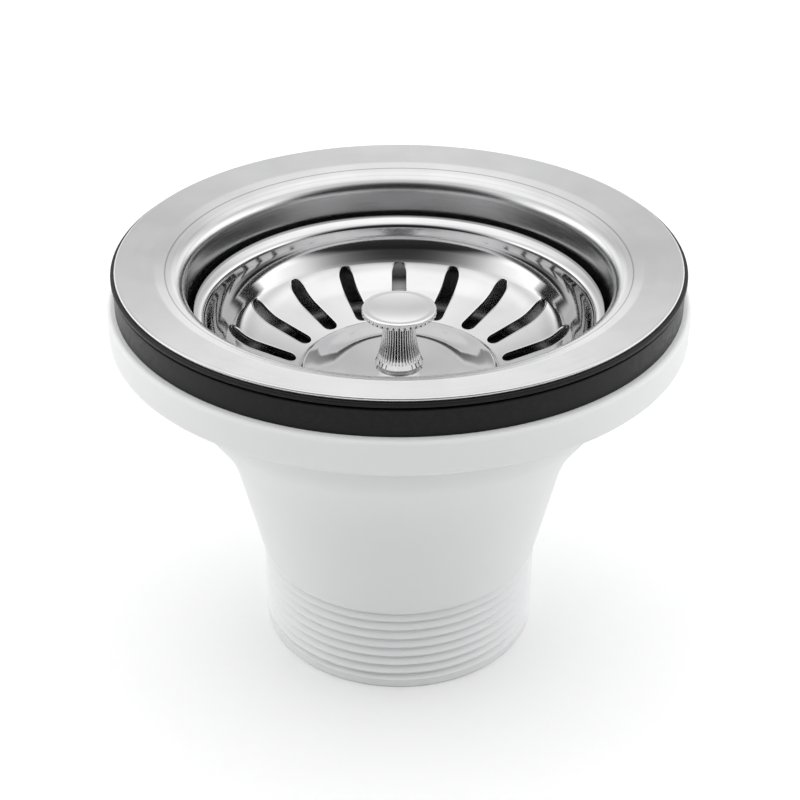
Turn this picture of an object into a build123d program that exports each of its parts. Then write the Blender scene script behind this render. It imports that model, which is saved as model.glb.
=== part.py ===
from build123d import *
import os

# Sink waste for a 90 mm sink hole, with a lift-out strainer basket and a 2 inch threaded outlet.
# Millimetres, +Z up, origin at the centre of the outlet's end face.

# Overall
height = 87.5

# Flange cup, pressed from one sheet
cup_sheet = 0.8
cup_radius = 42.6
flange_width = 13.4
flange_drop = 2.1
flange_edge_round = 0.4
mouth_round = 3.5
seat_depth = 32.0
cup_corner_round = 10.0
seat_width = 17.5
sump_drop = 9.5
sump_edge_round = 1.8
sump_corner_round = 2.0
drain_count = 6
drain_inner_radius = 12.0
drain_edge = 3.5
drain_web = 5.0
drain_corner_round = 1.5

# Seals
upper_seal_outset = 0.8
upper_seal_thickness = 0.9
upper_seal_clearance = 0.3
lower_seal_inset = 2.6
lower_seal_clearance = 1.2
seal_edge_round = 0.3

# Waste body, moulded
body_depth = 9.55
body_flange_margin = 2.1
body_flange_thickness = 5.65
body_flange_round = 1.6
body_wall = 2.8
bowl_clearance = 1.3
bowl_turn = 5.7
bowl_round = 18.0
throat_step = 11.75
throat_drop = 9.55
throat_round = 28.0
outlet_radius = 29.8
outlet_bore_radius = 25.0
outlet_length = 19.0
outlet_round = 6.0
lead_radius = 28.9
lead_length = 4.0
lead_chamfer = 0.6
hub_gap = 2.0
hub_radius = 9.5
hub_length = 20.0
rib_count = 4
rib_thickness = 3.0
rib_drop = 3.0

# Central clamp screw, its washer and its insert
thread_clearance = 0.05
screw_radius = 4.0
screw_hole_clearance = 0.3
screw_tip = 1.5
head_radius = 8.5
head_height = 7.0
head_chamfer = 0.6
head_slot_width = 2.0
head_slot_depth = 2.4
washer_radius = 10.5
washer_thickness = 1.2
insert_radius = 6.0
insert_length = 14.0
insert_groove_depth = 0.8
insert_groove_width = 3.0
insert_clearance = 0.02

# Strainer basket, pressed from one sheet
basket_sheet = 0.7
basket_depth = 13.95
lip_gap = 1.4
lip_width = 1.3
lip_round = 1.7
wall_lean = 2.1
wall_depth = 6.65
wall_round = 15.0
wall_foot_lean = 3.5
wall_foot_rise = 1.9
floor_round = 9.0
groove_radius = 21.2
groove_depth = 1.9
groove_round = 0.7
dome_step = 0.9
dome_edge_drop = 0.65
dome_edge_round = 1.0
dome_slope_width = 6.3
dome_round = 100.0
slot_count = 18
slot_width = 3.0
slot_inner_gap = 0.7
slot_climb = 1.6

# Knob
knob_radius = 7.6
knob_height = 12.5
knob_disc_thickness = 1.5
knob_disc_round = 0.4
knob_dish = 0.35
knob_dish_radius = 6.4
neck_radius = 3.55
neck_flare = 1.1
waist_radius = 3.62
waist_height = 5.3
foot_radius = 4.9
foot_height = 0.6
foot_base_radius = 4.6
stud_radius = 2.5
stud_clearance = 0.1

# Stopper, plate, post and catch ring under the basket
seat_gap = 0.2
stopper_height = 6.2
stopper_boss_radius = 7.0
stopper_flare = 3.0
stopper_disc_thickness = 2.6
stopper_disc_drop = 2.1
stopper_overlap = 5.5
stopper_lip_width = 3.4
stopper_lip_edge = 1.3
stopper_round = 0.5
plate_radius = 14.0
plate_thickness = 1.2
plate_edge_round = 0.4
collar_flats = 10.0
collar_gap = 0.3
post_radius = 4.2
post_clearance = 0.1
post_end_gap = 0.4
post_chamfer = 0.5
socket_depth = 5.5
stud_engagement = 3.4
ring_section = 1.4
ring_squeeze = 0.06
ring_height = 1.9
ring_side_clearance = 0.1

# Levels, measured up from the outlet's end
body_top = height - body_depth
seat_level = height - seat_depth
sump_floor = seat_level - sump_drop
sump_underside = sump_floor - cup_sheet
throat_height = seat_level - throat_drop
hub_top = sump_underside - hub_gap
hub_bottom = hub_top - hub_length
head_underside = sump_floor + washer_thickness
head_top = head_underside + head_height
stopper_bottom = seat_level + seat_gap
stopper_top = stopper_bottom + stopper_height
disc_top = stopper_top - stopper_disc_drop
disc_bottom = disc_top - stopper_disc_thickness
dome_top = stopper_top + basket_sheet
lip_top = dome_top + basket_depth
plate_bottom = disc_bottom - plate_thickness
collar_bottom = head_top + collar_gap
post_bottom = head_top - socket_depth + post_end_gap
ring_level = post_bottom + ring_height
stud_bottom = collar_bottom - stud_engagement

# Radii that follow the cup's
cup_outer_radius = cup_radius + cup_sheet
flange_radius = cup_radius + flange_width
upper_seal_radius = flange_radius + upper_seal_outset
lower_seal_radius = flange_radius - lower_seal_inset
body_flange_radius = flange_radius + body_flange_margin
bowl_radius = cup_outer_radius + bowl_clearance + body_wall
throat_radius = bowl_radius - throat_step
sump_radius = cup_radius - seat_width
drain_outer_radius = sump_radius - drain_edge
stopper_lip_radius = sump_radius + stopper_overlap
stopper_disc_radius = stopper_lip_radius - stopper_flare
lip_radius = cup_radius - lip_gap
wall_top_radius = lip_radius - lip_width
wall_bend_radius = wall_top_radius - wall_lean
wall_foot_radius = wall_bend_radius - wall_foot_lean
slot_outer_radius = wall_foot_radius + slot_climb
slot_inner_radius = groove_radius + slot_inner_gap
dome_radius = groove_radius - dome_step
dome_crown_radius = dome_radius - dome_slope_width

# Radii of the central holes
screw_hole_radius = screw_radius + screw_hole_clearance
stud_hole_radius = stud_radius + stud_clearance
socket_radius = post_radius + post_clearance

# Slope of the flange, which both seals follow
flange_slope = flange_drop / flange_width
flange_skew_sheet = cup_sheet * (1 + flange_slope**2) ** 0.5

os.makedirs("parts", exist_ok=True)


def finish(piece, name):
    piece.part.label = name
    export_step(piece.part, f"parts/{name}.step")


def flange_underside(radius):
    return height - flange_skew_sheet - (flange_radius - radius) * flange_slope


# Flange cup: one sheet from the flange's edge, down its slope, over the mouth and into the sump
with BuildPart() as flange_cup:
    with BuildSketch(Plane.XZ):
        with BuildLine():
            FilletPolyline(
                (flange_radius, height),
                (cup_radius, height - flange_drop),
                (cup_radius, seat_level),
                (sump_radius, seat_level),
                (sump_radius, sump_floor),
                (screw_hole_radius, sump_floor),
                radius=(mouth_round, cup_corner_round, sump_edge_round, sump_corner_round),
            )
            offset(amount=cup_sheet, side=Side.LEFT)
        make_face()
    revolve(axis=Axis.Z)
    top_edges = flange_cup.edges().filter_by(GeomType.CIRCLE).group_by(Axis.Z)[-1]
    fillet(top_edges.sort_by(SortBy.RADIUS)[-1], flange_edge_round)
    with BuildSketch(Plane.XY.offset(sump_floor)) as drains:
        Circle(drain_outer_radius)
        Circle(drain_inner_radius, mode=Mode.SUBTRACT)
        with PolarLocations((drain_inner_radius + drain_outer_radius) / 2, drain_count):
            Rectangle(drain_outer_radius, drain_web, mode=Mode.SUBTRACT)
        fillet(drains.vertices(), drain_corner_round)
    extrude(amount=-cup_sheet, mode=Mode.SUBTRACT)
finish(flange_cup, "flange_cup")

# Upper seal: thin ring that follows the flange's slope and shows beyond its edge
with BuildPart() as upper_seal:
    with BuildSketch(Plane.XZ):
        with BuildLine():
            upper_inner = cup_radius + mouth_round + upper_seal_clearance
            Polyline(
                (upper_seal_radius, flange_underside(upper_seal_radius)),
                (upper_inner, flange_underside(upper_inner)),
                (upper_inner, flange_underside(upper_inner) - upper_seal_thickness),
                (upper_seal_radius, flange_underside(upper_seal_radius) - upper_seal_thickness),
                close=True,
            )
        make_face()
    revolve(axis=Axis.Z)
    fillet(upper_seal.edges().filter_by(GeomType.CIRCLE).group_by(SortBy.RADIUS)[-1], seal_edge_round)
finish(upper_seal, "upper_seal")

# Lower seal: thick ring between the upper seal and the body's flange
with BuildPart() as lower_seal:
    with BuildSketch(Plane.XZ):
        with BuildLine():
            lower_inner = cup_outer_radius + lower_seal_clearance
            Polyline(
                (lower_seal_radius, flange_underside(lower_seal_radius) - upper_seal_thickness),
                (lower_inner, flange_underside(lower_inner) - upper_seal_thickness),
                (lower_inner, body_top),
                (lower_seal_radius, body_top),
                close=True,
            )
        make_face()
    revolve(axis=Axis.Z)
    fillet(lower_seal.edges().filter_by(GeomType.CIRCLE).group_by(SortBy.RADIUS)[-1], seal_edge_round)
finish(lower_seal, "lower_seal")

# Threaded insert: a bush with a groove that the hub's plastic fills
with BuildPart() as threaded_insert:
    with BuildSketch(Plane.XY.offset(hub_top - insert_length)):
        Circle(insert_radius)
    extrude(amount=insert_length)
    with BuildSketch(Plane.XY.offset(hub_top - (insert_length + insert_groove_width) / 2)):
        Circle(insert_radius)
        Circle(insert_radius - insert_groove_depth, mode=Mode.SUBTRACT)
    extrude(amount=insert_groove_width, mode=Mode.SUBTRACT)
    with Locations((0, 0, hub_top)):
        Hole(screw_radius + thread_clearance)
finish(threaded_insert, "threaded_insert")

# Body's inner space: the bowl, the neck and the outlet, less the hub and its ribs
with BuildPart() as waterway:
    with BuildSketch(Plane.XZ):
        with BuildLine():
            bore_line = FilletPolyline(
                (bowl_radius - body_wall, body_top),
                (bowl_radius - body_wall, seat_level + bowl_turn),
                (throat_radius - body_wall, throat_height),
                (outlet_bore_radius, outlet_length),
                (outlet_bore_radius, 0),
                radius=(bowl_round, throat_round, outlet_round),
            )
            Polyline(bore_line @ 1, (0, 0), (0, body_top), bore_line @ 0)
        make_face()
    revolve(axis=Axis.Z)
    with BuildSketch(Plane.XY.offset(hub_bottom)):
        Circle(hub_radius)
    extrude(amount=hub_length, mode=Mode.SUBTRACT)
    with BuildSketch(Plane.XY.offset(hub_bottom)):
        with PolarLocations(bowl_radius / 2, rib_count):
            Rectangle(bowl_radius, rib_thickness)
    extrude(amount=hub_length - rib_drop, mode=Mode.SUBTRACT)

# Waste body: flange, bowl, neck and outlet in one moulding, with the insert's place in its hub
with BuildPart() as waste_body:
    with BuildSketch(Plane.XZ):
        with BuildLine():
            body_line = FilletPolyline(
                (bowl_radius, body_top - body_flange_thickness),
                (bowl_radius, seat_level + bowl_turn),
                (throat_radius, throat_height),
                (outlet_radius, outlet_length),
                (outlet_radius, lead_length),
                radius=(bowl_round, throat_round, outlet_round),
            )
            Polyline(
                body_line @ 1,
                (lead_radius, lead_length),
                (lead_radius, 0),
                (0, 0),
                (0, body_top),
                (body_flange_radius, body_top),
                (body_flange_radius, body_top - body_flange_thickness),
                body_line @ 0,
            )
        make_face()
    revolve(axis=Axis.Z)
    flange_edges = waste_body.edges().filter_by(GeomType.CIRCLE).group_by(SortBy.RADIUS)[-1]
    fillet(flange_edges, body_flange_round)
    outlet_end = waste_body.edges().filter_by(GeomType.CIRCLE).group_by(Axis.Z)[0]
    chamfer(outlet_end, lead_chamfer)
    add(waterway.part, mode=Mode.SUBTRACT)
    with BuildSketch(Plane.XY.offset(hub_bottom)):
        Circle(screw_radius + screw_hole_clearance)
    extrude(amount=hub_length, mode=Mode.SUBTRACT)
    with BuildSketch(Plane.XY.offset(hub_top - insert_length)):
        Circle(insert_radius + insert_clearance)
    extrude(amount=insert_length, mode=Mode.SUBTRACT)
finish(waste_body, "waste_body")

# Screw washer on the cup's floor
with BuildPart() as screw_washer:
    with BuildSketch(Plane.XY.offset(sump_floor)):
        Circle(washer_radius)
        Circle(screw_hole_radius, mode=Mode.SUBTRACT)
    extrude(amount=washer_thickness)
finish(screw_washer, "screw_washer")

# Clamp screw: a slotted cheese head with a socket for the plug's post
with BuildPart() as clamp_screw:
    with BuildSketch(Plane.XY.offset(head_underside)):
        Circle(head_radius)
    extrude(amount=head_height)
    chamfer(clamp_screw.edges().group_by(Axis.Z)[-1], head_chamfer)
    with BuildSketch(Plane.XY.offset(hub_top - insert_length - screw_tip)):
        Circle(screw_radius)
    extrude(until=Until.NEXT)
    chamfer(clamp_screw.edges().group_by(Axis.Z)[0], head_chamfer)
    with Locations((0, 0, head_top)):
        Hole(socket_radius, depth=socket_depth)
        Box(
            2 * head_radius,
            head_slot_width,
            head_slot_depth,
            align=(Align.CENTER, Align.CENTER, Align.MAX),
            mode=Mode.SUBTRACT,
        )
finish(clamp_screw, "clamp_screw")

# Strainer basket: one sheet with a flared lip, a dished floor and a raised centre
with BuildPart() as strainer_basket:
    with BuildSketch(Plane.XZ):
        with BuildLine():
            FilletPolyline(
                (lip_radius, lip_top),
                (wall_top_radius, lip_top),
                (wall_bend_radius, lip_top - wall_depth),
                (wall_foot_radius, dome_top + wall_foot_rise),
                (groove_radius, dome_top - groove_depth),
                (dome_radius, dome_top - dome_edge_drop),
                (dome_crown_radius, dome_top),
                (stud_hole_radius, dome_top),
                radius=(lip_round, wall_round, floor_round, groove_round, dome_edge_round, dome_round),
            )
            offset(amount=basket_sheet, side=Side.LEFT)
        make_face()
    revolve(axis=Axis.Z)
    with BuildSketch(Plane.XY.offset(dome_top)):
        with PolarLocations((slot_inner_radius + slot_outer_radius) / 2, slot_count, start_angle=90):
            SlotOverall(slot_outer_radius - slot_inner_radius, slot_width)
    extrude(amount=basket_depth, both=True, mode=Mode.SUBTRACT)
finish(strainer_basket, "strainer_basket")

# Basket knob: a dished disc on a waisted stem, with the threaded stud below it
with BuildPart() as basket_knob:
    with BuildSketch(Plane.XZ):
        with BuildLine():
            knob_top = dome_top + knob_height
            disc_bottom_edge = knob_top - knob_disc_thickness
            ThreePointArc(
                (0, knob_top - knob_dish),
                (knob_dish_radius / 2, knob_top - knob_dish * 3 / 4),
                (knob_dish_radius, knob_top),
            )
            FilletPolyline(
                (knob_dish_radius, knob_top),
                (knob_radius, knob_top),
                (knob_radius, disc_bottom_edge),
                (neck_radius, disc_bottom_edge - neck_flare),
                radius=(knob_disc_round, knob_disc_round),
            )
            ThreePointArc(
                (neck_radius, disc_bottom_edge - neck_flare),
                (waist_radius, dome_top + waist_height),
                (foot_radius, dome_top + foot_height),
            )
            Polyline(
                (foot_radius, dome_top + foot_height),
                (foot_base_radius, dome_top),
                (stud_radius, dome_top),
                (stud_radius, stud_bottom),
                (0, stud_bottom),
                (0, knob_top - knob_dish),
            )
        make_face()
    revolve(axis=Axis.Z)
finish(basket_knob, "basket_knob")

# Plug stopper: a boss under the basket's raised centre, a disc and a sealing lip
with BuildPart() as plug_stopper:
    with BuildSketch(Plane.XZ):
        with BuildLine():
            FilletPolyline(
                (stud_hole_radius, stopper_top),
                (stopper_boss_radius, stopper_top),
                (stopper_boss_radius, disc_top),
                (stopper_disc_radius, disc_top),
                (stopper_lip_radius, stopper_bottom + stopper_lip_edge),
                (stopper_lip_radius, stopper_bottom),
                (stopper_lip_radius - stopper_lip_width, stopper_bottom),
                (stopper_lip_radius - 2 * stopper_lip_width, disc_bottom),
                (stud_hole_radius, disc_bottom),
                radius=stopper_round,
            )
            Line((stud_hole_radius, disc_bottom), (stud_hole_radius, stopper_top))
        make_face()
    revolve(axis=Axis.Z)
finish(plug_stopper, "plug_stopper")

# Stopper plate under the stopper's disc
with BuildPart() as stopper_plate:
    with BuildSketch(Plane.XY.offset(plate_bottom)):
        Circle(plate_radius)
        Circle(stud_hole_radius, mode=Mode.SUBTRACT)
    extrude(amount=plate_thickness)
    fillet(stopper_plate.edges().group_by(Axis.Z)[0].sort_by(SortBy.RADIUS)[-1], plate_edge_round)
finish(stopper_plate, "stopper_plate")

# Plug post: a six-sided collar and a pin with the catch ring's groove
with BuildPart() as plug_post:
    with BuildSketch(Plane.XY.offset(collar_bottom)):
        RegularPolygon(collar_flats / 2, 6, major_radius=False)
    extrude(amount=plate_bottom - collar_bottom)
    with BuildSketch(Plane.XY.offset(post_bottom)):
        Circle(post_radius)
    extrude(amount=collar_bottom - post_bottom)
    chamfer(plug_post.edges().group_by(Axis.Z)[0], post_chamfer)
    with BuildSketch(Plane.XY.offset(ring_level - ring_section / 2 - ring_side_clearance)):
        Circle(post_radius)
        Circle(socket_radius - ring_squeeze / 2 - ring_section, mode=Mode.SUBTRACT)
    extrude(amount=ring_section + 2 * ring_side_clearance, mode=Mode.SUBTRACT)
    with Locations((0, 0, plate_bottom)):
        Hole(stud_radius + thread_clearance, depth=plate_bottom - stud_bottom + thread_clearance)
finish(plug_post, "plug_post")

# Catch ring in the post's groove
with BuildPart() as catch_ring:
    with BuildSketch(Plane.XZ):
        with Locations((socket_radius - ring_squeeze / 2 - ring_section / 2, ring_level)):
            Circle(ring_section / 2)
    revolve(axis=Axis.Z)
finish(catch_ring, "catch_ring")
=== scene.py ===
import math

import bmesh
import bpy
from mathutils import Matrix, Vector


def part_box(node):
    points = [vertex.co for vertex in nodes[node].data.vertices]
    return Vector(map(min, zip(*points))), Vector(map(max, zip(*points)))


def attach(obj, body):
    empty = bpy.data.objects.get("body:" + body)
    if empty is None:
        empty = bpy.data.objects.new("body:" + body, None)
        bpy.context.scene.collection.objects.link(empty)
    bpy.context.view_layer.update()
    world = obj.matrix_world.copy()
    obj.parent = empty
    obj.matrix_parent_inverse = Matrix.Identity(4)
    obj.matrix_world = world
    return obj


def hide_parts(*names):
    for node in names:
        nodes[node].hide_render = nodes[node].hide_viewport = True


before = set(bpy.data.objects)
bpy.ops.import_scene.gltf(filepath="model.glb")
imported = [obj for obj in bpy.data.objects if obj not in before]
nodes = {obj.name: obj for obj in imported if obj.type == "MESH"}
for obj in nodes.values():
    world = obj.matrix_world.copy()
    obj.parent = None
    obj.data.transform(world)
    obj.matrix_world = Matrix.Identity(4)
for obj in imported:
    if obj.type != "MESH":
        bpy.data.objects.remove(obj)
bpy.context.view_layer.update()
MM = 0.001

# How finely the turned pieces are divided, and the gap where an outline starts and ends
COLUMNS = 240
FLANGE_COLUMNS = 288
HUB_COLUMNS = 96
DOUBLES = 0.004 * MM
SEAM = 1.0

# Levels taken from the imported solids, in millimetres
CUP_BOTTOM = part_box("flange_cup")[0].z / MM
BODY_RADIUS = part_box("waste_body")[1].x / MM
LIP_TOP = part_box("strainer_basket")[1].z / MM
KNOB_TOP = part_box("basket_knob")[1].z / MM
KNOB_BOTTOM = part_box("basket_knob")[0].z / MM

# Pressed flange and cup
CUP_HEIGHT = 42.3
TOP = CUP_BOTTOM + CUP_HEIGHT
STEEL_SHEET = 0.8
FLANGE_RADIUS = 56.0
FLANGE_FALL = 2.1
FLANGE_SEAM = 50.0
EDGE_LEAN = 0.1
EDGE_ROUND = 0.4
BURR_ROUND = 0.15
CUP_RADIUS = 42.6
FLANGE_SLOPE = FLANGE_FALL / (FLANGE_RADIUS - CUP_RADIUS)
SKEW_SHEET = STEEL_SHEET * math.hypot(1, FLANGE_SLOPE)
SHOULDER_RADIUS = 48.3
SHOULDER_SLOPE = 0.3
SHOULDER_ROUND = 4.0
# Painted shade lines along the creases round the cup's mouth: the radius of each and how dark it is
# painted
PAINTED_CREASE_LINES = ((46.3, 0.62), (45.3, 0.95), (44.4, 0.93), (43.5, 0.86))
PAINTED_CREASE_WIDTH = 0.22
MOUTH_ROUND = 4.4
MOUTH_UNDER_ROUND = 2.7
SEAT_DEPTH = 32.0
SEAT = TOP - SEAT_DEPTH
SEAT_ROUND = 10.0
SUMP_RADIUS = 25.1
SUMP_TOP_ROUND = 1.8
SUMP_ROUND = 2.0
SUMP_FLOOR = CUP_BOTTOM + STEEL_SHEET
SCREW_HOLE = 4.3
DRAIN_COUNT = 6
DRAIN_INNER = 12.0
DRAIN_OUTER = 21.6
DRAIN_WEB = 5.0
DRAIN_CORNER = 1.5
CUTTER_REACH = 3.0

# Moulded body
BODY_TOP = TOP - 7.6
BODY_FLANGE = 7.2
BODY_FLANGE_ROUND = 1.0
BODY_CORNER_ROUND = 0.8
BODY_SEAM = 46.0
BODY_WALL = 2.0
THROAT_WALL = 1.1 * BODY_WALL
TURN_LIFT = 0.3 * BODY_WALL
BOWL_RADIUS = 46.0
BOWL_TURN = SEAT + 6.2
BOWL_ROUND = 10.9
THROAT_RADIUS = 36.0
THROAT_HEIGHT = SEAT - 8.4
THROAT_ROUND = 37.8
OUTLET_RADIUS = 29.55
OUTLET_BORE = 25.0
OUTLET_LENGTH = 19.0
OUTLET_ROUND = 6.0
OUTLET_EDGE = 0.4
OUTLET_SEAM = 27.0
LEAD_RADIUS = 29.4
HUB_TOP = CUP_BOTTOM - 2.0
HUB_LENGTH = 20.0
HUB_RADIUS = 9.5
HUB_SEAM = 7.5
INSERT_RADIUS = 6.0
INSERT_LENGTH = 14.0
RIB_COUNT = 4
RIB_THICKNESS = 3.0
RIB_DROP = 3.0
RIB_TOP_REACH = 32.6
RIB_FOOT_REACH = 26.6
RIB_EDGE = 0.4
THREAD_PITCH = 2.309
THREAD_DEPTH = 1.3
CREST_ROUND = 0.94
THREAD_BOTTOM = 2.2
THREAD_TOP = 21.2
THREAD_ROWS = 220
THREAD_RUN_OUT = 2.6
LEAD_RUN_OUT = 0.5

# Seals
UPPER_SEAL = (46.4, 56.8)
UPPER_SEAL_THICKNESS = 0.9
UPPER_SEAL_CHAMFER = 0.1
LOWER_SEAL = (44.6, 56.5)
LOWER_SEAL_CHAMFER = 0.6
SEAL_EDGE = 0.25

# Strainer basket; each corner of its profile has a radius, a height and a round
LIP_RADIUS = 41.2
BASKET_SHEET = 0.7
BASKET_DEPTH = 13.95
DOME_TOP = LIP_TOP - BASKET_DEPTH
BASKET_PROFILE = (
    (LIP_RADIUS, LIP_TOP, 0.0),         # edge of the lip
    (39.1, LIP_TOP, 2.6),               # top of the wall
    (38.1, LIP_TOP - 5.0, 12.0),        # bend in the wall
    (34.3, DOME_TOP + 1.9, 10.0),       # foot of the wall
    (20.9, DOME_TOP - 2.0, 0.6),        # lowest ring of the floor
    (19.9, DOME_TOP - 0.85, 0.9),       # step up to the raised centre
    (17.3, DOME_TOP - 0.71, 20.0),      # start of its cone
    (12.0, DOME_TOP + 0.05, 16.0),      # edge of its plateau
    (2.6, DOME_TOP - 0.39, 0.0),        # hole for the knob's stud
)
BURR_FREE = 0.12
SLOT_COUNT = 18
SLOT_HALF_WIDTH = 1.62
SLOT_INNER = 21.9
SLOT_OUTER = 35.9
SLOT_END_ROWS = 6
SLOT_SIDE_ROWS = 24
SECTOR_COLUMNS = 8
PLATEAU_ROWS = ((3.6, 0), (9.6, 0), 4)
ROW_GAP = 0.01

# Knob
KNOB_FOOT = DOME_TOP - 0.3
KNOB_RADIUS = 7.6
KNOB_DISH = 0.35
DISH_RADIUS = 6.4
DISH_ROWS = (0.5, 1.6, 2.7, 3.8, 4.9, 5.7, 6.2)
DISC_UNDER = KNOB_TOP - 1.5
UNDERCUT_RADIUS = 4.65
UNDERCUT = DISC_UNDER - 0.35
NECK_RADIUS = 3.55
NECK_TOP = DISC_UNDER - 1.1
WAIST_RADIUS = 3.62
WAIST_HEIGHT = KNOB_FOOT + 5.3
FOOT_RADIUS = 4.9
FOOT_BAND = KNOB_FOOT + 0.6
FOOT_BOTTOM_RADIUS = 4.6
STUD_RADIUS = 2.5
STUD_END_RADIUS = 0.5
FLUTE_COUNT = 40
FLUTE_DEPTH = 0.5
FLUTE_BOTTOM = KNOB_FOOT + 1.9
FLUTE_TOP = DISC_UNDER - 0.6
FLUTE_RUN_OUT = 0.4
COLUMNS_PER_FLUTE = 10
NOTCH_DEPTH = 0.45
NOTCH_TOP = KNOB_TOP - 0.5
NOTCH_RUN_OUT = 0.2
NOTCH_BAND = 0.8

# Camera, found from the ellipses in the photograph
CAMERA_BACK = 286.57 * MM
CAMERA_HEIGHT = (TOP + 139.61) * MM
CAMERA_PITCH = math.radians(31.263)
CAMERA_LENS = 72.0
CAMERA_SHIFT_X = 0.0011

# Studio light: dim behind the camera, bright above and behind the waste
FRONT_LIGHT = 0.04
BACK_LIGHT = 1.5
SIDE_LIGHT = 1.4
BACK_BANDS = ((0.2, 0.9), (0.48, 0.51), (0.75, 0.8), (0.93, 1.0))
FLOOR_SIZE = 8.0


# Outlines

def rounded(corners, radii, steps=8):
    """The outline through the corners, with each inner corner turned into an arc of its radius."""
    outline = [Vector(corners[0])]
    for start, corner, end, radius in zip(corners, corners[1:], corners[2:], radii):
        corner = Vector(corner)
        back = (Vector(start) - corner).normalized()
        ahead = (Vector(end) - corner).normalized()
        half = back.angle(ahead) / 2
        if radius <= 0 or half > math.pi / 2 - 1e-4:
            outline.append(corner)
            continue
        centre = corner + (back + ahead).normalized() * radius / math.sin(half)
        first = corner + back * radius / math.tan(half) - centre
        swing = math.pi - 2 * half
        side = math.copysign(1, ahead.x * back.y - ahead.y * back.x)
        for step in range(steps + 1):
            outline.append(centre + Matrix.Rotation(side * swing * step / steps, 2) @ first)
    outline.append(Vector(corners[-1]))
    return outline


def profile(corners, steps):
    """The rounded outline through corners that each hold a radius, a height and a round."""
    rounds = [corner[2] for corner in corners[1:-1]]
    return rounded([corner[:2] for corner in corners], rounds, steps)


def divided(start, end, count):
    """Points from start to end, evenly spaced."""
    return [Vector(start).lerp(Vector(end), i / count) for i in range(count + 1)]


def arc_through(start, middle, end, steps):
    """Points on the circular arc from start to end by way of the middle point."""
    start, middle, end = Vector(start), Vector(middle), Vector(end)
    chord, side = end - start, middle - start
    turn = 2 * (chord.x * side.y - chord.y * side.x)
    centre = start + Vector((side.y * chord.length_squared - chord.y * side.length_squared,
                             chord.x * side.length_squared - side.x * chord.length_squared)) / turn
    spoke = start - centre
    swing = spoke.angle_signed(end - centre)
    return [centre + Matrix.Rotation(-swing * i / steps, 2) @ spoke for i in range(steps + 1)]


def height_at(outline, radius):
    """The outline's height at a radius, for an outline whose radius only grows."""
    for inner, outer in zip(outline, outline[1:]):
        if radius <= outer.x:
            share = (radius - inner.x) / max(outer.x - inner.x, 1e-9)
            return inner.y + share * (outer.y - inner.y)
    return outline[-1].y


# Modelling steps

def draw(name, outline):
    """A new piece in edit mode: the outline, in millimetres, as a chain of edges in the XZ plane."""
    bpy.ops.object.select_all(action="DESELECT")
    bpy.ops.mesh.primitive_plane_add(size=MM)
    piece = bpy.context.object
    piece.name = name
    bpy.ops.object.mode_set(mode="EDIT")
    bpy.ops.mesh.merge(type="CENTER")
    bpy.ops.transform.translate(value=(outline[0].x * MM, 0, outline[0].y * MM))
    for here, there in zip(outline, outline[1:]):
        step = ((there.x - here.x) * MM, 0, (there.y - here.y) * MM)
        bpy.ops.mesh.extrude_region_move(TRANSFORM_OT_translate={"value": step})
    bpy.ops.mesh.select_all(action="SELECT")
    return piece


def spin(steps, angle=2 * math.pi, copies=False):
    bpy.ops.mesh.spin(steps=steps, angle=angle, dupli=copies, center=(0, 0, 0), axis=(0, 0, 1))
    bpy.ops.mesh.select_all(action="SELECT")
    bpy.ops.mesh.remove_doubles(threshold=DOUBLES)


def leave(piece):
    """Turns the normals outward and leaves edit mode."""
    bpy.ops.mesh.select_all(action="SELECT")
    bpy.ops.mesh.normals_make_consistent(inside=False)
    bpy.ops.object.mode_set(mode="OBJECT")
    return piece


def pick(piece):
    bpy.ops.object.select_all(action="DESELECT")
    piece.select_set(True)
    bpy.context.view_layer.objects.active = piece


def apply_modifiers(piece):
    pick(piece)
    for modifier in list(piece.modifiers):
        bpy.ops.object.modifier_apply(modifier=modifier.name)


def smooth(piece, degrees=35):
    """Smooth shading between the sharp edges, with the flat faces kept flat."""
    pick(piece)
    bpy.ops.object.shade_smooth_by_angle(angle=math.radians(degrees))
    weigh = piece.modifiers.new("flats", "WEIGHTED_NORMAL")
    weigh.keep_sharp = True
    apply_modifiers(piece)


def lathe(name, outline, steps=COLUMNS):
    """A turned piece: the closed outline, spun all the way round."""
    piece = draw(name, outline + outline[:1])
    spin(steps)
    return leave(piece)


# Pieces

def flange_top(radius):
    return TOP - (FLANGE_RADIUS - radius) * FLANGE_SLOPE


def flange_underside(radius):
    return flange_top(radius) - SKEW_SHEET


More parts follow.
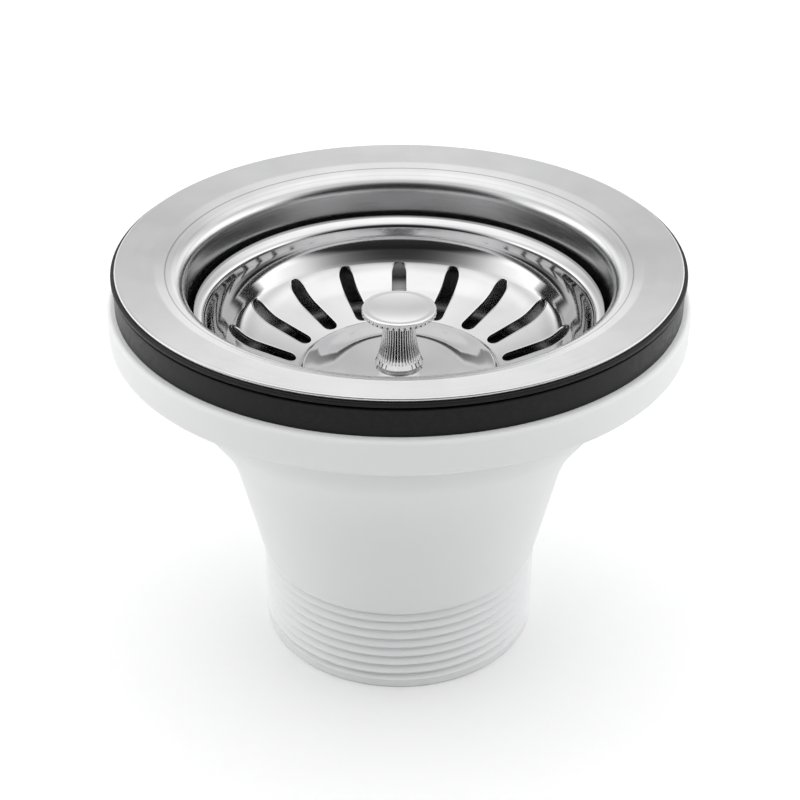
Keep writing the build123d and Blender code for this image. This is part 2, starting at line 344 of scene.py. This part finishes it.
def flange_cup():
    """The pressed flange and cup, with the drains pierced through the sump's floor."""
    outside = CUP_RADIUS + STEEL_SHEET
    fall = flange_top(SHOULDER_RADIUS)
    mouth = fall - (SHOULDER_RADIUS - CUP_RADIUS) * SHOULDER_SLOPE
    sump_outside = SUMP_RADIUS + STEEL_SHEET
    below_seat = SEAT - STEEL_SHEET
    rim = FLANGE_RADIUS + EDGE_LEAN
    seam_end = FLANGE_SEAM - SEAM
    corners = [
        (FLANGE_SEAM, flange_underside(FLANGE_SEAM), 0),
        (rim, flange_underside(rim), BURR_ROUND),
        (FLANGE_RADIUS, TOP, EDGE_ROUND),
        (SHOULDER_RADIUS, fall, SHOULDER_ROUND),
        (CUP_RADIUS, mouth, MOUTH_ROUND),
        (CUP_RADIUS, SEAT, SEAT_ROUND),
        (SUMP_RADIUS, SEAT, SUMP_TOP_ROUND),
        (SUMP_RADIUS, SUMP_FLOOR, SUMP_ROUND),
        (SCREW_HOLE, SUMP_FLOOR, BURR_ROUND),
        (SCREW_HOLE, CUP_BOTTOM, BURR_ROUND),
        (sump_outside, CUP_BOTTOM, SUMP_ROUND + STEEL_SHEET),
        (sump_outside, below_seat, SUMP_TOP_ROUND - STEEL_SHEET),
        (outside, below_seat, SEAT_ROUND + STEEL_SHEET),
        (outside, flange_underside(outside), MOUTH_UNDER_ROUND),
        (seam_end, flange_underside(seam_end), 0),
    ]
    piece = lathe("flange_cup_steel", profile(corners, 12), FLANGE_COLUMNS)
    drains = drain_cutters()
    cut = piece.modifiers.new("drains", "BOOLEAN")
    cut.object = drains
    cut.solver = "EXACT"
    apply_modifiers(piece)
    bpy.data.objects.remove(drains)
    smooth(piece)
    return piece


def drain_cutters():
    """Six ring sectors that stand through the sump's floor."""
    low, high = SUMP_FLOOR - CUTTER_REACH, SUMP_FLOOR + CUTTER_REACH
    section = [
        (DRAIN_INNER, low), (DRAIN_OUTER, low), (DRAIN_OUTER, high), (DRAIN_INNER, high),
        (DRAIN_INNER, low),
    ]
    piece = draw("drain_cutters", [Vector(corner) for corner in section])
    bpy.ops.mesh.remove_doubles(threshold=DOUBLES)
    bpy.ops.mesh.edge_face_add()
    pitch = 2 * math.pi / DRAIN_COUNT
    gap = math.asin(DRAIN_WEB / (DRAIN_INNER + DRAIN_OUTER))
    bpy.ops.transform.rotate(value=-gap, orient_axis="Z", center_override=(0, 0, 0))
    bpy.ops.mesh.spin(steps=12, angle=pitch - 2 * gap, center=(0, 0, 0), axis=(0, 0, 1))
    bpy.ops.mesh.select_all(action="SELECT")
    bpy.ops.mesh.normals_make_consistent(inside=False)
    spin(DRAIN_COUNT - 1, pitch * (DRAIN_COUNT - 1), copies=True)
    leave(piece)
    soften = piece.modifiers.new("corners", "BEVEL")
    soften.width = DRAIN_CORNER * MM
    soften.segments = 5
    soften.limit_method = "ANGLE"
    soften.angle_limit = math.radians(60)
    apply_modifiers(piece)
    return piece


def seal(name, radii, top, bottom, chamfer):
    """A rubber ring whose top follows the flange's slope, with softened edges."""
    inner, outer = radii
    middle = (inner + outer) / 2
    flat_end = outer - 2 * chamfer
    corners = [
        (middle, bottom(middle), 0),
        (outer, bottom(outer), SEAL_EDGE),
        (outer, top(outer) - chamfer, SEAL_EDGE),
        (flat_end, top(flat_end), SEAL_EDGE),
        (inner, top(inner), SEAL_EDGE),
        (inner, bottom(inner), SEAL_EDGE),
        (middle - SEAM, bottom(middle - SEAM), 0),
    ]
    piece = lathe(name, profile(corners, 5))
    smooth(piece)
    return piece


def upper_seal_bottom(radius):
    return flange_underside(radius) - UPPER_SEAL_THICKNESS


def body_top(radius):
    return BODY_TOP


def waste_body():
    """The white moulding: flange, bowl, neck and threaded outlet, with hub and ribs inside."""
    shoulder = BODY_TOP - BODY_FLANGE
    outer = profile([
        (BODY_SEAM, BODY_TOP, 0),
        (BODY_RADIUS, BODY_TOP, BODY_FLANGE_ROUND),
        (BODY_RADIUS, shoulder, BODY_FLANGE_ROUND),
        (BOWL_RADIUS, shoulder, BODY_CORNER_ROUND),
        (BOWL_RADIUS, BOWL_TURN, BOWL_ROUND),
        (THROAT_RADIUS, THROAT_HEIGHT, THROAT_ROUND),
        (OUTLET_RADIUS, OUTLET_LENGTH, OUTLET_ROUND),
        (OUTLET_RADIUS, THREAD_TOP - 8, 0),
    ], 10)
    neck = [point for point in outer if point.y > THREAD_TOP + 0.2]
    below = [point for point in outer if point.y <= THREAD_TOP + 0.2]
    ladder = [Vector((-point.y, point.x)) for point in neck[-1:] + below]
    rows = []
    for point in divided((0, THREAD_TOP), (0, THREAD_BOTTOM), THREAD_ROWS):
        rows.append(Vector((height_at(ladder, -point.y), point.y)))
    lead = profile([
        (OUTLET_RADIUS, THREAD_BOTTOM - 0.1, 0),
        (LEAD_RADIUS, THREAD_BOTTOM - 0.4, 0.1),
        (LEAD_RADIUS, 0, 0.5),
        (OUTLET_SEAM, 0, 0),
    ], 5)
    bore_radius = BOWL_RADIUS - BODY_WALL
    bore = profile([
        (OUTLET_SEAM - SEAM, 0, 0),
        (OUTLET_BORE, 0, OUTLET_EDGE),
        (OUTLET_BORE, OUTLET_LENGTH, OUTLET_ROUND),
        (THROAT_RADIUS - THROAT_WALL, THROAT_HEIGHT, THROAT_ROUND),
        (bore_radius, BOWL_TURN + TURN_LIFT, BOWL_ROUND - BODY_WALL),
        (bore_radius, BODY_TOP, 0.3),
        (BODY_SEAM - SEAM, BODY_TOP, 0),
    ], 8)
    piece = lathe("waste_body_moulding", neck + rows + lead + bore)
    cut_thread(piece)
    hub = body_hub()
    pick(piece)
    hub.select_set(True)
    bpy.ops.object.join()
    smooth(piece, 50)
    return piece


def cut_thread(piece):
    """Sinks a helical groove into the outlet, running out into the neck and the lead."""
    crest = math.acos(CREST_ROUND)
    for vertex in piece.data.vertices:
        x, y, z = vertex.co / MM
        radius = math.hypot(x, y)
        if radius < OUTLET_BORE + 2 or not THREAD_BOTTOM - 0.3 < z < THREAD_TOP + 0.1:
            continue
        turn = 2 * math.pi * z / THREAD_PITCH - math.atan2(y, x)
        wave = (math.acos(CREST_ROUND * math.cos(turn)) - crest) / (math.pi - 2 * crest)
        fade = min(1.0, (THREAD_TOP - z) / THREAD_RUN_OUT, (z - THREAD_BOTTOM + 0.2) / LEAD_RUN_OUT)
        scale = (radius - THREAD_DEPTH * wave * max(0.0, fade)) / radius
        vertex.co.x *= scale
        vertex.co.y *= scale


def body_hub():
    """The hub that holds the brass insert, on four ribs that run out into the neck's wall."""
    low = HUB_TOP - HUB_LENGTH
    insert_end = HUB_TOP - INSERT_LENGTH
    corners = [
        (HUB_SEAM, HUB_TOP, 0),
        (HUB_RADIUS, HUB_TOP, 0.5),
        (HUB_RADIUS, low, 0.5),
        (SCREW_HOLE, low, 0.3),
        (SCREW_HOLE, insert_end, 0),
        (INSERT_RADIUS, insert_end, 0),
        (INSERT_RADIUS, HUB_TOP, 0.3),
        (HUB_SEAM - SEAM / 2, HUB_TOP, 0),
    ]
    hub = lathe("hub", profile(corners, 4), HUB_COLUMNS)
    high = HUB_TOP - RIB_DROP
    middle = (high + low) / 2 * MM
    for number in range(RIB_COUNT):
        bpy.ops.object.select_all(action="DESELECT")
        bpy.ops.mesh.primitive_cube_add(size=MM)
        rib = bpy.context.object
        bpy.ops.object.mode_set(mode="EDIT")
        bpy.ops.transform.resize(value=(1, RIB_THICKNESS, high - low))
        bpy.ops.transform.translate(value=(0, 0, middle))
        for corner in bmesh.from_edit_mesh(rib.data).verts:
            if corner.co.x > 0:
                corner.co.x = (RIB_TOP_REACH if corner.co.z > middle else RIB_FOOT_REACH) * MM
            else:
                corner.co.x = (HUB_RADIUS - 1) * MM
        bpy.ops.mesh.bevel(offset=RIB_EDGE * MM, segments=2, affect="EDGES")
        turn = 2 * math.pi * number / RIB_COUNT
        bpy.ops.mesh.select_all(action="SELECT")
        bpy.ops.transform.rotate(value=-turn, orient_axis="Z", center_override=(0, 0, 0))
        leave(rib)
        pick(hub)
        rib.select_set(True)
        bpy.ops.object.join()
    return hub


def slot_half_width(radius):
    """Half the width of a strainer slot at a radius: straight sides and round ends."""
    reach = min(radius - SLOT_INNER, SLOT_OUTER - radius)
    if reach <= 0:
        return 0.0
    if reach >= SLOT_HALF_WIDTH:
        return SLOT_HALF_WIDTH
    return math.sqrt(SLOT_HALF_WIDTH ** 2 - (SLOT_HALF_WIDTH - reach) ** 2)


def basket_rows():
    """The basket's profile from the centre outward, with rows to suit the slots' round ends."""
    curve = profile(BASKET_PROFILE, 200)[::-1]
    radii = {round(point.x, 4) for point in profile(BASKET_PROFILE, 12)}
    radii = {radius for radius in radii if not SLOT_INNER - 0.1 < radius < SLOT_OUTER + 0.1}
    for row in range(SLOT_END_ROWS + 1):
        end = SLOT_HALF_WIDTH * (1 - math.cos(math.pi / 2 * row / SLOT_END_ROWS))
        radii |= {SLOT_INNER + end, SLOT_OUTER - end}
    sides = (SLOT_INNER + SLOT_HALF_WIDTH, 0), (SLOT_OUTER - SLOT_HALF_WIDTH, 0), SLOT_SIDE_ROWS
    radii |= {point.x for point in divided(*sides) + divided(*PLATEAU_ROWS)}
    rows = []
    for radius in sorted(radii):
        if not rows or radius - rows[-1].x > ROW_GAP:
            rows.append(Vector((radius, height_at(curve, radius))))
    return rows


def strainer_basket():
    """The pressed basket: one slotted sector, repeated round the axis and given its thickness."""
    piece = draw("strainer_basket_steel", basket_rows())
    sector = 2 * math.pi / SLOT_COUNT
    columns = 2 * SECTOR_COLUMNS + 1
    bpy.ops.mesh.spin(steps=columns, angle=sector, center=(0, 0, 0), axis=(0, 0, 1))
    sheet = bmesh.from_edit_mesh(piece.data)
    column_of = {}
    for vertex in sheet.verts:
        radius = math.hypot(vertex.co.x, vertex.co.y)
        column = round(abs(math.atan2(vertex.co.y, vertex.co.x)) / sector * columns)
        column_of[vertex] = column
        edge = math.asin(slot_half_width(radius / MM) * MM / radius)
        side = column - columns / 2
        share = (abs(side) - 0.5) / SECTOR_COLUMNS
        angle = math.pi / 2 + math.copysign(edge + share * (sector / 2 - edge), side)
        vertex.co.x = radius * math.cos(angle)
        vertex.co.y = radius * math.sin(angle)
    middle = {SECTOR_COLUMNS, SECTOR_COLUMNS + 1}
    openings = [face for face in sheet.faces
                if {column_of[corner] for corner in face.verts} == middle]
    bmesh.ops.delete(sheet, geom=openings, context="FACES")
    bmesh.update_edit_mesh(piece.data)
    bpy.ops.mesh.select_all(action="SELECT")
    bpy.ops.mesh.remove_doubles(threshold=DOUBLES)
    spin(SLOT_COUNT - 1, sector * (SLOT_COUNT - 1), copies=True)
    leave(piece)
    face_up(piece)
    thicken = piece.modifiers.new("sheet", "SOLIDIFY")
    thicken.thickness = BASKET_SHEET * MM
    thicken.offset = -1
    soften = piece.modifiers.new("burr_free_edges", "BEVEL")
    soften.width = BURR_FREE * MM
    soften.segments = 2
    soften.limit_method = "ANGLE"
    soften.angle_limit = math.radians(50)
    apply_modifiers(piece)
    smooth(piece)
    return piece


def face_up(piece):
    """Turns an open sheet's normals upward."""
    if sum(face.normal.z * face.area for face in piece.data.polygons) > 0:
        return
    pick(piece)
    bpy.ops.object.mode_set(mode="EDIT")
    bpy.ops.mesh.select_all(action="SELECT")
    bpy.ops.mesh.flip_normals()
    bpy.ops.object.mode_set(mode="OBJECT")


def basket_knob():
    """The turned knob: a dished disc with a notched edge on a fluted, waisted stem."""
    dish = [Vector((radius, KNOB_TOP - KNOB_DISH * (1 - (radius / DISH_RADIUS) ** 2)))
            for radius in DISH_ROWS]
    disc = profile([
        (DISH_RADIUS, KNOB_TOP, 0),
        (KNOB_RADIUS, KNOB_TOP, 0.4),
        (KNOB_RADIUS, DISC_UNDER, 0.3),
        (UNDERCUT_RADIUS, UNDERCUT, 0.8),
        (NECK_RADIUS, NECK_TOP, 0),
    ], 6)
    stem = arc_through(
        (NECK_RADIUS, NECK_TOP), (WAIST_RADIUS, WAIST_HEIGHT), (FOOT_RADIUS, FOOT_BAND), 24)
    base = profile([
        (FOOT_RADIUS, FOOT_BAND, 0),
        (FOOT_BOTTOM_RADIUS, KNOB_FOOT, 0.2),
        (STUD_RADIUS, KNOB_FOOT, 0),
        (STUD_RADIUS, KNOB_BOTTOM, 0.3),
        (STUD_END_RADIUS, KNOB_BOTTOM, 0),
    ], 4)
    piece = draw("basket_knob_turned", dish + disc + stem[1:] + base[1:])
    spin(COLUMNS_PER_FLUTE * FLUTE_COUNT)
    leave(piece)
    close_ends(piece)
    flute(piece)
    smooth(piece, 40)
    return piece


def close_ends(piece):
    pick(piece)
    bpy.ops.object.mode_set(mode="EDIT")
    bpy.ops.mesh.select_all(action="DESELECT")
    bpy.ops.mesh.select_mode(type="EDGE")
    bpy.ops.mesh.select_non_manifold()
    bpy.ops.mesh.edge_face_add()
    bpy.ops.mesh.select_mode(type="VERT")
    leave(piece)


def flute(piece):
    """Presses in the stem's flutes and the disc's notches, and marks how deep each point lies, for
    the painted shade in them.
    """
    recess = piece.data.attributes.new("recess", "FLOAT", "POINT")
    for vertex in piece.data.vertices:
        x, y, z = vertex.co / MM
        radius = math.hypot(x, y)
        wave = 1 - abs(math.sin(math.atan2(y, x) * FLUTE_COUNT / 2))
        depth = 0.0
        if FLUTE_BOTTOM < z < FLUTE_TOP and radius < FOOT_RADIUS:
            depth = FLUTE_DEPTH * min(1.0, (z - FLUTE_BOTTOM) / FLUTE_RUN_OUT)
        elif radius > KNOB_RADIUS - NOTCH_BAND and z < NOTCH_TOP:
            depth = NOTCH_DEPTH * min(1.0, (NOTCH_TOP - z) / NOTCH_RUN_OUT)
        recess.data[vertex.index].value = wave * depth / FLUTE_DEPTH
        scale = (radius - depth * wave) / radius if radius > 1 else 1.0
        vertex.co.x *= scale
        vertex.co.y *= scale


# Materials

def new_material(name, base, roughness, metallic=0.0):
    material = bpy.data.materials.new(name)
    material.use_nodes = True
    shader = material.node_tree.nodes["Principled BSDF"]
    shader.inputs["Base Color"].default_value = (*base, 1)
    shader.inputs["Roughness"].default_value = roughness
    shader.inputs["Metallic"].default_value = metallic
    return material


class Nodes:
    """Short ways to place and join a material's nodes."""

    def __init__(self, owner):
        self.tree = owner.node_tree
        self.shader = self.tree.nodes.get("Principled BSDF")

    def add(self, kind, **settings):
        node = self.tree.nodes.new("ShaderNode" + kind)
        for name, value in settings.items():
            setattr(node, name, value)
        return node

    def join(self, source, target):
        self.tree.links.new(source, target)

    def math(self, operation, *values):
        node = self.add("Math", operation=operation)
        for socket, value in zip(node.inputs, values):
            if isinstance(value, (int, float)):
                socket.default_value = value
            else:
                self.join(value, socket)
        return node.outputs[0]

    def place(self):
        return self.add("TexCoord").outputs["Object"]

    def round_place(self, lines, along):
        """Coordinates for marks that run round the axis: radius and height fine, angle coarse."""
        split = self.add("SeparateXYZ")
        self.join(self.place(), split.inputs[0])
        x, y, z = split.outputs
        squares = self.math("ADD", self.math("MULTIPLY", x, x), self.math("MULTIPLY", y, y))
        radius = self.math("SQRT", squares)
        merge = self.add("CombineXYZ")
        self.join(self.math("MULTIPLY", radius, lines), merge.inputs[0])
        self.join(self.math("MULTIPLY", z, lines), merge.inputs[1])
        self.join(self.math("MULTIPLY", self.math("ARCTAN2", y, x), along), merge.inputs[2])
        return merge.outputs[0], radius, z

    def noise(self, place, scale, detail=3.0, roughness=0.5):
        node = self.add("TexNoise")
        node.inputs["Scale"].default_value = scale
        node.inputs["Detail"].default_value = detail
        node.inputs["Roughness"].default_value = roughness
        self.join(place, node.inputs["Vector"])
        return node.outputs["Fac"]

    def span(self, value, low, high, start=0.0, end=1.0):
        node = self.add("MapRange")
        node.inputs["From Min"].default_value = start
        node.inputs["From Max"].default_value = end
        node.inputs["To Min"].default_value = low
        node.inputs["To Max"].default_value = high
        self.join(value, node.inputs["Value"])
        return node.outputs["Result"]

    def ramp(self, value, stops):
        """A value that follows the stops, each a position and a level."""
        node = self.add("ValToRGB")
        stops_made = node.color_ramp.elements
        while len(stops_made) < len(stops):
            stops_made.new(1.0)
        for stop, (position, level) in zip(stops_made, stops):
            stop.position = position
            stop.color = (level, level, level, 1)
        node.color_ramp.interpolation = "EASE"
        self.join(value, node.inputs[0])
        return node.outputs["Color"]

    def ease(self, value, low, high, start, end):
        """As span, held at both ends and eased between them."""
        result = self.span(value, low, high, start, end)
        result.node.interpolation_type = "SMOOTHSTEP"
        return result

    def blend(self, value, dark, light):
        node = self.add("Mix", data_type="RGBA")
        node.inputs[6].default_value = (*dark, 1)
        node.inputs[7].default_value = (*light, 1)
        self.join(value, node.inputs[0])
        return node.outputs[2]

    def bump(self, height, distance, strength=1.0):
        node = self.add("Bump")
        node.inputs["Strength"].default_value = strength
        node.inputs["Distance"].default_value = distance
        self.join(height, node.inputs["Height"])
        self.join(node.outputs["Normal"], self.shader.inputs["Normal"])


def painted_cup_shade(made, radius, height):
    """Painted shade: darker deep in the cup, with painted dark lines along the creases round its
    mouth.
    """
    shade = made.ease(height, 0.45, 1.0, (TOP - 16) * MM, (TOP - 3) * MM)
    for line, level in PAINTED_CREASE_LINES:
        away = made.math("ABSOLUTE", made.math("SUBTRACT", radius, line * MM))
        mark = made.ease(away, level, 1.0, 0.3 * PAINTED_CREASE_WIDTH * MM, PAINTED_CREASE_WIDTH * MM)
        shade = made.math("MULTIPLY", shade, mark)
    return shade


def painted_flute_shade(made, radius, height):
    """Painted shade: dark at the bottom of the flutes and notches, where shade falls in them."""
    recess = made.add("Attribute", attribute_name="recess").outputs["Fac"]
    return made.ease(recess, 1.0, 0.08, 0.2, 0.75)


def turned_steel(name, base, roughness, spread, lines, bump, shade=None):
    """Steel with fine marks that run round the axis, darkened by any painted shade that is passed
    in.
    """
    material = new_material(name, base, roughness, 1.0)
    made = Nodes(material)
    place, radius, height = made.round_place(lines, 3.0)
    marks = made.noise(place, 1.0, 4.0, 0.6)
    dullness = made.span(marks, roughness - spread, roughness + spread, 0.3, 0.7)
    made.join(dullness, made.shader.inputs["Roughness"])
    patches = made.noise(made.place(), 90.0, 3.0)
    darker = tuple(0.93 * channel for channel in base)
    colour = made.blend(made.span(patches, 0, 1, 0.35, 0.65), darker, base)
    if shade:
        dim = made.add("VectorMath", operation="SCALE")
        made.join(colour, dim.inputs[0])
        made.join(shade(made, radius, height), dim.inputs["Scale"])
        colour = dim.outputs[0]
    made.join(colour, made.shader.inputs["Base Color"])
    made.bump(marks, bump)
    return material


def white_plastic():
    """Moulded polypropylene: smooth, a little waxy, with a faint cloudiness."""
    material = new_material("white_plastic", (0.87, 0.875, 0.88), 0.42)
    made = Nodes(material)
    clouds = made.noise(made.place(), 60.0, 4.0)
    colour = made.blend(clouds, (0.86, 0.865, 0.87), (0.88, 0.885, 0.89))
    made.join(colour, made.shader.inputs["Base Color"])
    dullness = made.span(made.noise(made.place(), 700.0, 2.0), 0.38, 0.47, 0.3, 0.7)
    made.join(dullness, made.shader.inputs["Roughness"])
    made.bump(made.noise(made.place(), 2600.0, 2.0), 0.004 * MM)
    return material


def black_rubber():
    """Dull black rubber with a fine grain and a little dust in it."""
    material = new_material("black_rubber", (0.006, 0.006, 0.0065), 0.42)
    made = Nodes(material)
    made.shader.inputs["Specular IOR Level"].default_value = 0.2
    grain = made.noise(made.place(), 900.0, 4.0)
    dust = made.span(grain, 0, 1, 0.4, 0.75)
    colour = made.blend(dust, (0.003, 0.003, 0.0035), (0.009, 0.009, 0.0095))
    made.join(colour, made.shader.inputs["Base Color"])
    made.join(made.span(grain, 0.34, 0.48, 0.3, 0.7), made.shader.inputs["Roughness"])
    made.bump(grain, 0.02 * MM)
    return material


def floor_paper():
    """The studio's white paper, a little uneven, which throws less light back than it shows."""
    material = new_material("floor_paper", (0.97, 0.97, 0.97), 0.9)
    made = Nodes(material)
    fibres = made.noise(made.place(), 400.0, 3.0)
    rays = made.add("LightPath").outputs
    seen = made.math("MAXIMUM", rays["Is Camera Ray"], rays["Is Glossy Ray"])
    seen = made.math("MAXIMUM", seen, rays["Is Transmission Ray"])
    dim = made.add("VectorMath", operation="SCALE")
    made.join(made.blend(fibres, (0.97, 0.97, 0.97), (0.99, 0.99, 0.99)), dim.inputs[0])
    made.join(made.span(seen, 0.8, 1.0), dim.inputs["Scale"])
    made.join(dim.outputs[0], made.shader.inputs["Base Color"])
    return material


def studio_light():
    """A soft white surround: dim on the camera's side, bright bands behind, above and beside."""
    world = bpy.data.worlds.new("studio")
    world.use_nodes = True
    made = Nodes(world)
    split = made.add("SeparateXYZ")
    made.join(made.add("TexCoord").outputs["Generated"], split.inputs[0])
    x, y, z = split.outputs
    behind = made.ease(made.math("MULTIPLY_ADD", z, 0.9, y), FRONT_LIGHT, BACK_LIGHT, -0.45, 0.05)
    heights = made.ramp(z, BACK_BANDS)
    sides = made.ease(made.math("ABSOLUTE", x), 1.0, SIDE_LIGHT, 0.4, 0.9)
    level = made.math("MULTIPLY", made.math("MULTIPLY", behind, heights), sides)
    made.join(level, made.tree.nodes["Background"].inputs["Strength"])
    made.tree.nodes["Background"].inputs["Color"].default_value = (1, 1, 1, 1)
    bpy.context.scene.world = world


def dress(piece, material):
    piece.data.materials.clear()
    piece.data.materials.append(material)


# The flange's steel carries painted shade deep in the cup and along the creases round its mouth
flange_steel = turned_steel(
    "flange_steel", (0.62, 0.62, 0.625), 0.22, 0.05, 5200.0, 0.004 * MM, painted_cup_shade)
basket_steel = turned_steel("basket_steel", (0.64, 0.64, 0.645), 0.075, 0.02, 2600.0, 0.001 * MM)
# The knob's chrome carries painted shade at the bottom of its flutes and notches
knob_chrome = turned_steel(
    "knob_chrome", (0.79, 0.79, 0.795), 0.07, 0.02, 4000.0, 0.001 * MM, painted_flute_shade)
plain_steel = turned_steel("plain_steel", (0.56, 0.56, 0.57), 0.30, 0.06, 4000.0, 0.004 * MM)
brass = turned_steel("brass", (0.72, 0.52, 0.22), 0.28, 0.05, 4000.0, 0.004 * MM)
plastic = white_plastic()
rubber = black_rubber()

flange = flange_cup()
upper_seal = seal(
    "upper_seal_ring", UPPER_SEAL, flange_underside, upper_seal_bottom, UPPER_SEAL_CHAMFER)
lower_seal = seal("lower_seal_ring", LOWER_SEAL, upper_seal_bottom, body_top, LOWER_SEAL_CHAMFER)

replacements = [
    (flange, "flange_cup", "waste", flange_steel),
    (upper_seal, "upper_seal", "waste", rubber),
    (lower_seal, "lower_seal", "waste", rubber),
    (waste_body(), "waste_body", "waste", plastic),
    (strainer_basket(), "strainer_basket", "plug", basket_steel),
    (basket_knob(), "basket_knob", "plug", knob_chrome),
]
for piece, node, body, material in replacements:
    dress(piece, material)
    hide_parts(node)
    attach(piece, body)

kept_nodes = {
    "plug_stopper": rubber,
    "catch_ring": rubber,
    "stopper_plate": plain_steel,
    "plug_post": plain_steel,
    "clamp_screw": plain_steel,
    "screw_washer": plain_steel,
    "threaded_insert": brass,
}
for name, material in kept_nodes.items():
    dress(nodes[name], material)


# Floor, light and camera

bpy.ops.object.select_all(action="DESELECT")
bpy.ops.mesh.primitive_plane_add(size=FLOOR_SIZE)
floor = bpy.context.object
floor.name = "floor"
dress(floor, floor_paper())

studio_light()

bpy.context.scene.view_settings.view_transform = "Standard"

camera_data = bpy.data.cameras.new("camera")
camera_data.lens = CAMERA_LENS
camera_data.shift_x = CAMERA_SHIFT_X
camera = bpy.data.objects.new("camera", camera_data)
camera.location = (0, -CAMERA_BACK, CAMERA_HEIGHT)
camera.rotation_euler = (math.pi / 2 - CAMERA_PITCH, 0, 0)
bpy.context.scene.collection.objects.link(camera)
bpy.context.scene.camera = camera
